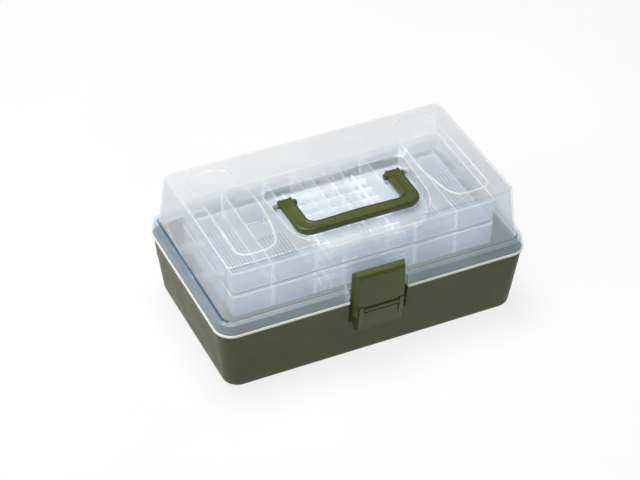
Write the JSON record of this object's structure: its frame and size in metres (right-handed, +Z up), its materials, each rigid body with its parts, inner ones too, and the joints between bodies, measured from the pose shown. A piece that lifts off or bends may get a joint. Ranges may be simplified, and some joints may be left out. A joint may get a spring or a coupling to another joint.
{
  "type": "sewing box with trays",
  "caption": "Portable sewing box with an olive tub, a translucent hinged lid, a folding handle, a front latch and divided trays that swing up and back as the lid opens.",
  "frame": {"origin": "centre of the box's footprint on the ground, at the tub's underside", "axes": "+X to the right along the box's length, -Y towards the latch at the front, +Z up"},
  "size_m": [0.33, 0.203, 0.143],
  "materials": {
    "olive_tub": "moulded plastic with a fine grain",
    "olive_trim": "satin moulded plastic",
    "clear_lid": "glossy translucent plastic",
    "milky_tray": "translucent bluish plastic",
    "pale_rivet": "milky plastic",
    "steel_pin": "plain drawn wire"
  },
  "bodies": {
    "base": {"base_tub": "olive_tub", "latch_bracket": "olive_trim", "latch_pin": "olive_trim", "hinge_pin_left": "steel_pin", "hinge_pin_right": "steel_pin", "base_rivets": "pale_rivet"},
    "lid": {"lid_shell": "clear_lid", "lid_link_rivets": "pale_rivet"},
    "handle": {"handle": "olive_trim"},
    "latch": {"latch_lever": "olive_trim"},
    "lower_tray": {"tray_lower": "milky_tray", "tray_lower_rivets": "pale_rivet", "lower_divider_cross_left": "milky_tray", "lower_divider_cross_right": "milky_tray", "lower_divider_long_left": "milky_tray", "lower_divider_long_right": "milky_tray"},
    "upper_tray": {"tray_upper": "milky_tray", "tray_upper_rivets": "pale_rivet", "upper_divider_cross_left": "milky_tray", "upper_divider_cross_right": "milky_tray", "upper_divider_long_left": "milky_tray", "upper_divider_long_right": "milky_tray"},
    "front_arm_left": {"front_arm_left": "milky_tray", "arm_link_rivet_left": "pale_rivet"},
    "front_arm_right": {"front_arm_right": "milky_tray", "arm_link_rivet_right": "pale_rivet"},
    "rear_arm_left": {"rear_arm_left": "milky_tray"},
    "rear_arm_right": {"rear_arm_right": "milky_tray"},
    "lid_link_left": {"lid_link_left": "milky_tray"},
    "lid_link_right": {"lid_link_right": "milky_tray"}
  },
  "joints": [
    {"name": "lid_hinge", "type": "hinge", "parent": "base", "child": "lid", "pos_m": [0, 0.098, 0.071], "axis": [-1, 0, 0], "range_deg": [0, 105]},
    {"name": "latch_hinge", "type": "hinge", "parent": "base", "child": "latch", "pos_m": [0, -0.098, 0.0635], "axis": [1, 0, 0], "range_deg": [0, 120]},
    {"name": "handle_hinge", "type": "hinge", "parent": "lid", "child": "handle", "pos_m": [0, -0.006, 0.1375], "axis": [-1, 0, 0], "range_deg": [0, 100]},
    {"name": "front_arm_left_pivot", "type": "hinge", "parent": "base", "child": "front_arm_left", "pos_m": [0, 0.028, 0.0496], "axis": [-1, 0, 0], "range_deg": [0, 70]},
    {"name": "front_arm_right_pivot", "type": "hinge", "parent": "base", "child": "front_arm_right", "pos_m": [0, 0.028, 0.0496], "axis": [-1, 0, 0], "range_deg": [0, 70]},
    {"name": "rear_arm_left_pivot", "type": "hinge", "parent": "base", "child": "rear_arm_left", "pos_m": [0, 0.076, 0.0496], "axis": [-1, 0, 0], "range_deg": [0, 70]},
    {"name": "rear_arm_right_pivot", "type": "hinge", "parent": "base", "child": "rear_arm_right", "pos_m": [0, 0.076, 0.0496], "axis": [-1, 0, 0], "range_deg": [0, 70]},
    {"name": "lower_tray_pivot", "type": "hinge", "parent": "front_arm_left", "child": "lower_tray", "pos_m": [0, -0.00809, 0.0778], "axis": [-1, 0, 0], "range_deg": [-70, 0]},
    {"name": "upper_tray_pivot", "type": "hinge", "parent": "front_arm_left", "child": "upper_tray", "pos_m": [0, -0.04418, 0.106], "axis": [-1, 0, 0], "range_deg": [-70, 0]},
    {"name": "lid_link_left_pivot", "type": "hinge", "parent": "front_arm_left", "child": "lid_link_left", "pos_m": [0, 0.01256, 0.06167], "axis": [-1, 0, 0], "range_deg": [-70, 0]},
    {"name": "lid_link_right_pivot", "type": "hinge", "parent": "front_arm_right", "child": "lid_link_right", "pos_m": [0, 0.01256, 0.06167], "axis": [-1, 0, 0], "range_deg": [-70, 0]}
  ],
  "couplings": [
    {"joint": "front_arm_left_pivot", "follows": "lid_hinge", "ratio": 0.66},
    {"joint": "front_arm_right_pivot", "follows": "lid_hinge", "ratio": 0.66},
    {"joint": "rear_arm_left_pivot", "follows": "lid_hinge", "ratio": 0.66},
    {"joint": "rear_arm_right_pivot", "follows": "lid_hinge", "ratio": 0.66},
    {"joint": "lower_tray_pivot", "follows": "lid_hinge", "ratio": -0.66},
    {"joint": "upper_tray_pivot", "follows": "lid_hinge", "ratio": -0.66},
    {"joint": "lid_link_left_pivot", "follows": "lid_hinge", "ratio": -0.66},
    {"joint": "lid_link_right_pivot", "follows": "lid_hinge", "ratio": -0.66}
  ]
}
